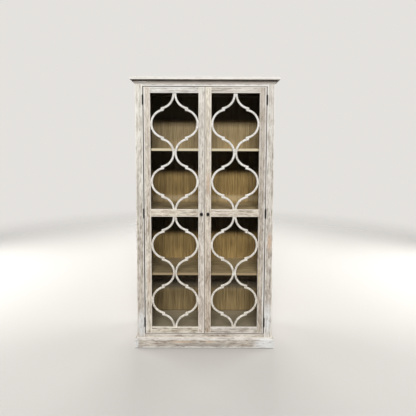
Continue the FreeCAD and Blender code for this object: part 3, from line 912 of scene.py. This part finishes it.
# The dark lines along the doors' gaps, beside the posts, along the hinge and meeting stiles and
# over and under the doors, are dirt and painted shade.
STAINS = {
    # Painted shade along the lower edge of the top board.
    "top_board": [line_stain(PAINTED_SHADE_BROWN, 0.80, z=(2.1135, 0.0050))],
    "cornice_front": [SHADE_UNDER_TOP, SHADOW_ABOVE_FOOT,
                      # Painted light: a lit strip across the left end of the cornice.
                      oval_stain(WHITE, 0.55, -0.470, 2.0995, 0.045, 0.0050)],
    "cornice_left": [SHADE_UNDER_TOP, SIDE_SHADE],
    "cornice_right": [SHADE_UNDER_TOP, SIDE_SHADE],
    "front_post_right": [
        oval_stain(PEACH, 0.7, 0.512, 0.855, 0.022, 0.105),
        oval_stain(BROWN, 0.6, 0.508, 0.742, 0.008, 0.020),
        oval_stain(BLUISH, 0.7, 0.505, 0.230, 0.040, 0.200),
        *beside_gap(1, POST_WHITE, POST_EDGE),
        line_stain(DIRT_AND_SHADE, 0.6, x=(GAP_X, GAP_REACH))],
    "front_post_left": [
        oval_stain(BLUISH, 0.7, -0.505, 0.190, 0.040, 0.160),
        oval_stain(GREY, 0.4, -0.520, 1.250, 0.014, 0.300),
        *beside_gap(-1, POST_WHITE, POST_EDGE),
        line_stain(DIRT_AND_SHADE, 0.9, x=(-GAP_X, GAP_REACH))],
    "left_hinge_stile": [
        oval_stain(PEACH, 0.25, -0.440, 0.560, 0.020, 0.240),
        *beside_gap(-1, STILE_WHITE, STILE_EDGE),
        line_stain(DIRT_AND_SHADE, 0.9, x=(-STILE_EDGE, 0.0056))],
    "right_hinge_stile": [
        oval_stain(STRAW, 0.6, 0.430, 0.600, 0.009, 0.130),
        oval_stain(BROWN, 0.5, 0.447, 0.330, 0.012, 0.110),
        oval_stain(WHITE, 0.9, 0.466, 0.430, 0.005, 0.170),
        *beside_gap(1, STILE_WHITE, STILE_EDGE),
        line_stain(DIRT_AND_SHADE, 0.45, x=(STILE_EDGE, 0.0050)),
        oval_stain(DIRT_AND_SHADE, 0.9, STILE_EDGE, 0.300, 0.0056, 0.700)],
    "left_meeting_stile": [line_stain(DIRT_AND_SHADE, 0.9, x=(-MEETING_X, MEETING_REACH))],
    "right_meeting_stile": [oval_stain(PEACH, 0.6, 0.026, 1.330, 0.014, 0.130),
                            line_stain(DIRT_AND_SHADE, 0.9, x=(MEETING_X, MEETING_REACH))],
    "plinth_front": [
        oval_stain(PEACH, 0.7, -0.180, 0.052, 0.130, 0.010),
        oval_stain(PEACH, 0.7, 0.036, 0.052, 0.050, 0.010),
        oval_stain(GREY, 0.7, -0.030, 0.030, 0.380, 0.018),
        oval_stain(BROWN, 0.7, -0.383, 0.037, 0.026, 0.010),
        oval_stain(BLUISH, 0.8, 0.500, 0.040, 0.150, 0.060),
        oval_stain(BLUISH, 0.7, -0.545, 0.040, 0.030, 0.060),
        # Painted highlight along the plinth's top bevel, where it catches the light.
        line_stain(WHITE, 0.35, z=(0.074, 0.012)),
        line_stain(WHITE, 0.6, z=(0.009, 0.008)),
        # Painted shadow: a dark line along the plinth's foot, where it meets the floor.
        line_stain(DIRT_AND_SHADE, 0.9, z=(0.0, 0.0060))],
    # Painted shade and dirt in the gaps under and over the doors.
    "front_bottom_rail": [line_stain(DIRT_AND_SHADE, 0.7, z=(0.1125, 0.004))],
    "front_top_rail": [oval_stain(DIRT_AND_SHADE, 0.9, -0.250, 2.070, 0.460, 0.003)],
}
print("boards with stains:", len(STAINS))

# %% [markdown]
# ## Back boards and shelves
#
# Inside, the wood was left a golden brown and only waxed. The back boards show fine upright
# streaks, paler in the top compartment and greyer in the lowest. High under each shelf the
# photograph is almost black, which the lamps alone don't give. So the finish has painted shade
# there, and under the lowest one a painted half shade and a paler grey band of painted light.
# A painted dark line runs at the foot. The rear faces have none of that, only the nails. The
# shelves are the same wood, with their front edges limed like the case. Everything inside is a
# little darker on the left than on the right, which is painted light as well.

# %% The recipe for the back boards
BACK_DARK = (0.125, 0.078, 0.028)
BACK_LIGHT = (0.390, 0.265, 0.105)
TOP_DARK = (0.218, 0.156, 0.074)
TOP_LIGHT = (0.452, 0.348, 0.203)
BACK_SHADE = (0.014, 0.010, 0.006)
PAINTED_LIGHT_GREY = (0.480, 0.430, 0.340)
RUBBED, RUBBED_Z = (0.760, 0.660, 0.480), 1.150
LOW_TINT = (0.86, 0.915, 1.12)
PAINTED_SHADE_ZONES, ZONE_FADE = ((1.842, 2.2), (1.394, 1.59), (0.838, 1.10)), 0.024
SHOWN_FACE, REAR_FACE = 0.2270, 0.2280
NAIL_HEIGHTS = (0.065, 0.595, 1.105, 1.590, 2.075)
NAIL_COLOUR = (0.030, 0.026, 0.022)
BOARD_PITCH = 0.09794


def painted_side_light(finish, colour, x, left, right):
    """Painted light: the colour times a tint that goes over from left to right."""
    return finish.blend(1.0, colour, finish.blend(x.between(-0.45, 0.45), left, right),
                        "MULTIPLY")


def waxed_back(name):
    """Golden pine in upright boards, each board a little different."""
    finish = Finish(name)
    place = finish.place()
    x, y, z = finish.axes(place)
    along = x * (1 / BOARD_PITCH) + 5
    board_number = along.applied("FLOOR")
    shift = finish.node("ShaderNodeCombineXYZ", {},
                        {0: board_number * 0.37, 2: board_number * 1.3})
    fibres = along_grain(finish, place, 2, shift, 0.04)
    streaks = finish.noise(fibres, 135.0, 3.0, 0.7)
    figure = finish.noise(along_grain(finish, place, 2, shift, 0.12), 30.0, 4.0, 0.6, 0.8)
    seen = y < SHOWN_FACE
    board_tone = (finish.noise(shift, 2.3, 0.0) - 0.5) * (1 - seen)
    tone = ((streaks - 0.5) * 1.8 + (figure - 0.5) * 1.0 + board_tone * 1.2 + 0.48).clamped()
    high_up = z.between(1.45, 1.65) * seen
    colour = finish.blend(tone, finish.blend(high_up, BACK_DARK, TOP_DARK),
                          finish.blend(high_up, BACK_LIGHT, TOP_LIGHT))
    # Painted shade: high under each shelf the back is darkened almost to black.
    for low, high in PAINTED_SHADE_ZONES:
        shade = z.between(low - ZONE_FADE, low + ZONE_FADE) * (z < high) * seen
        colour = finish.blend(shade * 0.82, colour, BACK_SHADE)
    # Painted light: a paler grey band lifts the shade under the lowest shelf.
    painted_light_under_shelf = z.between(0.27, 0.40) * (z < 0.58) * seen
    colour = finish.blend(painted_light_under_shelf * 0.35, colour, PAINTED_LIGHT_GREY)
    # Painted half shade where the shade under the lowest shelf fades out.
    half_shade = z.between(0.300, 0.330) * (1 - z.between(0.385, 0.415)) * seen
    colour = finish.blend(half_shade * 0.45, colour, BACK_SHADE)
    # Painted shade: a dark line at the foot of the back.
    painted_shade_at_foot = (z > 0.0995) * (1 - z.between(0.104, 0.108)) * seen
    colour = finish.blend(painted_shade_at_foot * 0.6, colour, BACK_SHADE)
    rubbed = (1 - abs(z - RUBBED_Z).between(0.010, 0.042)) * seen
    colour = finish.blend(rubbed * 0.22, colour, RUBBED)
    low_down = (1 - z.between(0.50, 0.60)) * seen
    colour = finish.blend(low_down, colour, LOW_TINT, "MULTIPLY")
    # Painted light: darker on the left, lighter on the right.
    colour = painted_side_light(finish, colour, x, (0.92, 0.92, 0.91), (1.18, 1.17, 1.13))
    across = ((along * 2).applied("FRACT") * 0.5 - 0.25) * BOARD_PITCH
    nails = 0.0
    for height in NAIL_HEIGHTS:
        away = (across * across + (z - height) * (z - height)).applied("SQRT")
        nails = nails + (1 - away.between(0.0016, 0.0030))
    nails = nails * (y > REAR_FACE)
    colour = finish.blend(nails * 0.8, colour, NAIL_COLOUR)
    return finish.principled(colour, 0.75 - figure * 0.15, streaks - nails * 0.5, 0.0004,
                             Specular_IOR_Level=0.2)


back_finish = waxed_back("waxed_back_boards")
print("back boards' finish ready")

# %% The recipe for the shelves
SHELF_DARK = (0.170, 0.122, 0.060)
SHELF_LIGHT = (0.440, 0.335, 0.190)
FLOOR_BOARD_GREY = (0.350, 0.310, 0.240)
EDGE_LOW = (0.380, 0.280, 0.160)
EDGE_TOP = (0.760, 0.660, 0.470)
EDGE_RIM = (0.150, 0.110, 0.060)
OVER_FLOOR_BOARD, OVER_LOWER, OVER_MIDDLE = 0.3, 0.8, 1.3
SHELF_FRONT = -0.1560
UPPER_RIM, LOWER_RIM = 1.5955, 0.5965


def shelf_wood(name):
    """The shelves' golden pine, limed on the front edge."""
    finish = Finish(name)
    place = finish.place()
    x, y, z = finish.axes(place)
    raised, over_lower, over_middle = z > OVER_FLOOR_BOARD, z > OVER_LOWER, z > OVER_MIDDLE
    number = raised * 2.1 + over_lower * 3.3 + over_middle * 1.7
    shift = finish.node("ShaderNodeCombineXYZ", {}, {0: number, 1: number * 0.8})
    figure = finish.noise(along_grain(finish, place, 0, shift, 0.12), 40.0, 4.0, 0.6, 0.8)
    streaks = finish.noise(along_grain(finish, place, 0, shift, 0.05), 140.0, 3.0, 0.7)
    tone = (streaks - 0.5) * 1.6 + (figure - 0.5) * 1.4 + 0.5
    colour = finish.blend(tone.clamped(), SHELF_DARK, SHELF_LIGHT)
    colour = finish.blend((1 - raised) * 0.5, colour, FLOOR_BOARD_GREY)
    # Painted light: this tint makes the raised shelves darker on the left and lighter on the
    # right.
    worn = painted_side_light(finish, colour, x, (0.84, 0.84, 0.83), (1.30, 1.29, 1.25))
    colour = finish.blend(raised, colour, worn)
    edge = (y < SHELF_FRONT) * raised
    edge_colour = finish.blend(over_middle, EDGE_LOW, EDGE_TOP)
    # The top of the front edge of the upper and the lower shelf is darker.
    darker_top_rim = ((z > UPPER_RIM) + (z > LOWER_RIM) * (1 - over_lower)) * edge
    edge_colour = finish.blend(darker_top_rim * 0.8, edge_colour, EDGE_RIM)
    colour = finish.blend(edge * 0.88, colour, edge_colour)
    return finish.principled(colour, 0.78 - figure * 0.15, streaks, 0.0004)


shelf_finish = shelf_wood("shelf_pine")
print("shelves' finish ready")

# %% [markdown]
# ## Paint, iron, steel and glass
#
# The fretwork is painted off-white and lightly rubbed. The iron is blackened, so it is dark
# with a soft shine. The glass is thin and clean. A refracting glass would bend the light hardly
# at all in such a pane and needs many more samples. So most light goes straight through, and a
# Fresnel node adds the mirror that grows towards a slanting view.

# %% The recipe for the fretwork's paint
PAINT_HIGH = (0.825, 0.805, 0.765)
PAINT_LOW = (0.835, 0.785, 0.700)
PAINT_WORN = (0.400, 0.345, 0.270)
PAINT_BRUSHED = (0.600, 0.570, 0.520)


def fret_paint(name):
    """Off-white paint, rubbed and yellowed, more so lower down."""
    finish = Finish(name)
    place = finish.place()
    height = finish.axes(place)[2]
    cloud = finish.noise(place, 26.0, 5.0, 0.65)
    fleck = finish.noise(place, 105.0, 4.0, 0.7)
    brush = finish.noise(place, 240.0, 3.0, 0.6)
    lower_down = 1 - height.between(0.3, 1.7)
    worn = ((cloud - 0.5) * 3.0 + (fleck - 0.5) * 4.4 + 0.12 + lower_down * 0.36).clamped()
    paint = finish.blend(lower_down, PAINT_HIGH, PAINT_LOW)
    colour = finish.blend(worn * 0.80, paint, PAINT_WORN)
    colour = finish.blend(brush.between(0.3, 0.7) * 0.20, colour, PAINT_BRUSHED)
    return finish.principled(colour, 0.60 + worn * 0.25, brush * 0.6 + cloud, 0.0004)


fret_finish = fret_paint("fretwork_paint")
print("paint ready")

# %% The recipes for iron, steel and glass
IRON, RUST = (0.009, 0.009, 0.010), (0.050, 0.032, 0.020)
STEEL_DARK, STEEL_LIGHT = (0.42, 0.42, 0.43), (0.62, 0.62, 0.62)
GLASS_TINT = (0.972, 0.975, 0.968)


def black_iron(name):
    """Blackened iron, with a forged surface."""
    finish = Finish(name)
    place = finish.place()
    hammer = finish.noise(place, 320.0, 3.0, 0.6)
    rust = finish.noise(place, 90.0, 4.0, 0.6).between(0.58, 0.75)
    colour = finish.blend(rust * 0.35, IRON, RUST)
    return finish.principled(colour, 0.48 + rust * 0.25, hammer, 0.0003,
                             Specular_IOR_Level=0.14)


def plain_steel(name):
    """Brushed steel for catches and strikes."""
    finish = Finish(name)
    place = finish.place()
    brushed = finish.node("ShaderNodeMapping", {}, {"Vector": place, "Scale": (0.05, 1.0, 1.0)})
    lines = finish.noise(brushed, 900.0, 3.0, 0.7)
    colour = finish.blend(lines, STEEL_DARK, STEEL_LIGHT)
    return finish.principled(colour, 0.30 + lines * 0.2, lines, 0.0001, Metallic=1.0)


def clear_glass(name):
    """Thin float glass: see-through, with a mirror that grows at slanting views."""
    finish = Finish(name)
    place = finish.place()
    smear = finish.noise(place, 6.0, 4.0, 0.6)
    ripple = finish.noise(place, 3.0, 1.0, 0.4)
    normal = finish.node("ShaderNodeBump", {}, {"Distance": 0.0004, "Height": ripple})
    mirror = finish.node("ShaderNodeBsdfGlossy", {},
                         {"Color": (1.0, 1.0, 1.0), "Roughness": smear * 0.10, "Normal": normal})
    through = finish.node("ShaderNodeBsdfTransparent", {}, {"Color": GLASS_TINT})
    share = finish.node("ShaderNodeFresnel", {}, {"IOR": 1.08})
    return finish.surface(finish.node("ShaderNodeMixShader", {},
                                      {0: share, 1: through, 2: mirror}))


BY_SLOT = {
    "back_boards": back_finish, "shelf_boards": shelf_finish, "fretwork_paint": fret_finish,
    "black_iron": black_iron("black_iron"), "catch_steel": plain_steel("plain_steel"),
    "clear_glass": clear_glass("clear_glass"),
}
print("iron, steel and glass ready")

# %% Give every board and fitting its finish
boards_chance = random.Random(31)


def put_on(piece, material):
    """Give a piece this one material."""
    piece.data.materials.clear()
    piece.data.materials.append(material)


def pine_for(name):
    """The limed pine of one board, with what is set by hand for it."""
    change, *tints = BOARDS.get("cornice" if "cornice" in name else name, OTHER_BOARDS)
    contrast = FRONT_CONTRAST if name in BOARDS and name != "top_board" else SIDE_CONTRAST
    shift = tuple(boards_chance.uniform(0.0, 9.0) for axis in range(3))
    low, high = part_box(name)
    return limed_pine("limed_pine_" + name, low, high, shift, change, contrast, tints[0],
                      tints[-1], STAINS.get(name, ()))


for part in frame["record"]["subparts"]:
    name, slot_name = part["node"], part["material_slot"]
    if name in frame["nodes"]:
        material = pine_for(name) if slot_name == "limed_pine" else BY_SLOT[slot_name]
        put_on(frame["nodes"][name], material)
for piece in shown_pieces():
    if piece.name not in frame["nodes"]:
        put_on(piece, BY_SLOT[piece["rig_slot"]])

# %% [markdown]
# ## Studio
#
# A plain pale floor, and one large soft lamp far in front and above. It stands so high that
# each shelf throws a shade about 0.2 metres deep on the back boards. Three soft lamps at the
# sides and behind light the other faces without looking in at the front. Floor and background
# look pale but light the cabinet only a little, so that the inside stays dark.

# %% Floor and background
FLOOR_COLOUR, FLOOR_SPECK = (0.58, 0.56, 0.53), (0.50, 0.48, 0.45)
FLOOR_BOUNCE = (0.05, 0.048, 0.045)
FLOOR_RADIUS, FADE = 7.0, (2.5, 6.5)
BACKGROUND = (0.78, 0.76, 0.73)
AMBIENT, AMBIENT_STRENGTH = (1.0, 1.0, 1.0), 0.015


def in_view(finish):
    """1 for what the camera sees, also in a mirror or through glass, and 0 for stray light."""
    ray = finish.node("ShaderNodeLightPath", output="Is Camera Ray")
    return ray.most(ray.output("Is Glossy Ray")).most(ray.output("Is Transmission Ray"))


def pale_floor(name):
    """A matt floor that fades into the background far out."""
    finish = Finish(name)
    place = finish.place()
    x, y, _ = finish.axes(place)
    speck = finish.noise(place, 30.0, 4.0, 0.6)
    colour = finish.blend(speck * 0.12, FLOOR_COLOUR, FLOOR_SPECK)
    colour = finish.blend(in_view(finish), FLOOR_BOUNCE, colour)
    matt = finish.node("ShaderNodeBsdfPrincipled", {}, {"Base Color": colour, "Roughness": 0.9})
    nothing = finish.node("ShaderNodeBsdfTransparent")
    far = (x * x + y * y).applied("SQRT").between(*FADE)
    return finish.surface(finish.node("ShaderNodeMixShader", {}, {0: far, 1: matt, 2: nothing}))


def pale_studio(name):
    """A pale background that gives only a little light."""
    world = Finish(name, "worlds")
    ambient = world.node("ShaderNodeBackground", {},
                         {"Color": AMBIENT, "Strength": AMBIENT_STRENGTH})
    shown = world.node("ShaderNodeBackground", {}, {"Color": BACKGROUND})
    either = world.node("ShaderNodeMixShader", {}, {0: in_view(world), 1: ambient, 2: shown})
    return world.surface(either, "ShaderNodeOutputWorld")


clear_selection()
bpy.ops.mesh.primitive_circle_add(vertices=96, radius=FLOOR_RADIUS, fill_type="NGON")
floor = bpy.context.object
floor.name = "floor"
put_on(floor, pale_floor("pale_floor"))

bpy.context.scene.world = pale_studio("studio")
print("floor and background ready")

# %% Lamps
AIM = (0.0, 0.0, 1.0)
LAMPS = {
    "key": ((0.0, -14.8, 9.45), 9.0, 2.0, 3150),
    "left_side": ((-4.0, 1.3, 1.9), 2.5, 2.5, 140),
    "right_side": ((4.0, 1.3, 1.9), 2.5, 2.5, 140),
    "behind": ((0.0, 4.5, 2.8), 3.0, 3.0, 160),
}

for name, (place, width, tall, power) in LAMPS.items():
    lamp = bpy.data.lights.new(name, "AREA")
    lamp.shape = "RECTANGLE"
    lamp.size = width
    lamp.size_y = tall
    lamp.energy = power
    holder = bpy.data.objects.new(name, lamp)
    holder.location = place
    holder.rotation_euler = (Vector(AIM) - Vector(place)).to_track_quat("-Z", "Y").to_euler()
    bpy.context.scene.collection.objects.link(holder)

print("lamps:", len(LAMPS))

# %% [markdown]
# ## Camera
#
# The photograph was taken from 2.6 metres in front of the doors and 1.585 metres up, tipped
# slightly down. The lens and the small shift of the picture come from how the shelves and edges
# line up in it.

# %% Camera
CAMERA_PLACE = (0.025, -2.7845, 1.585)
CAMERA_PITCH_DEG = 4.12
CAMERA_ROLL_DEG = 0.18
LENS_MM, SENSOR_MM = 28.9, 36.0
SHIFT_UP = -0.0816

lens = bpy.data.cameras.new("camera")
lens.lens = LENS_MM
lens.sensor_width = SENSOR_MM
lens.shift_y = SHIFT_UP
camera = bpy.data.objects.new("camera", lens)
camera.location = CAMERA_PLACE
camera.rotation_mode = "ZXY"
camera.rotation_euler = (math.radians(90 - CAMERA_PITCH_DEG), 0, math.radians(CAMERA_ROLL_DEG))
bpy.context.scene.collection.objects.link(camera)
bpy.context.scene.camera = camera
bpy.context.scene.view_settings.view_transform = "Standard"
print("camera at", CAMERA_PLACE)
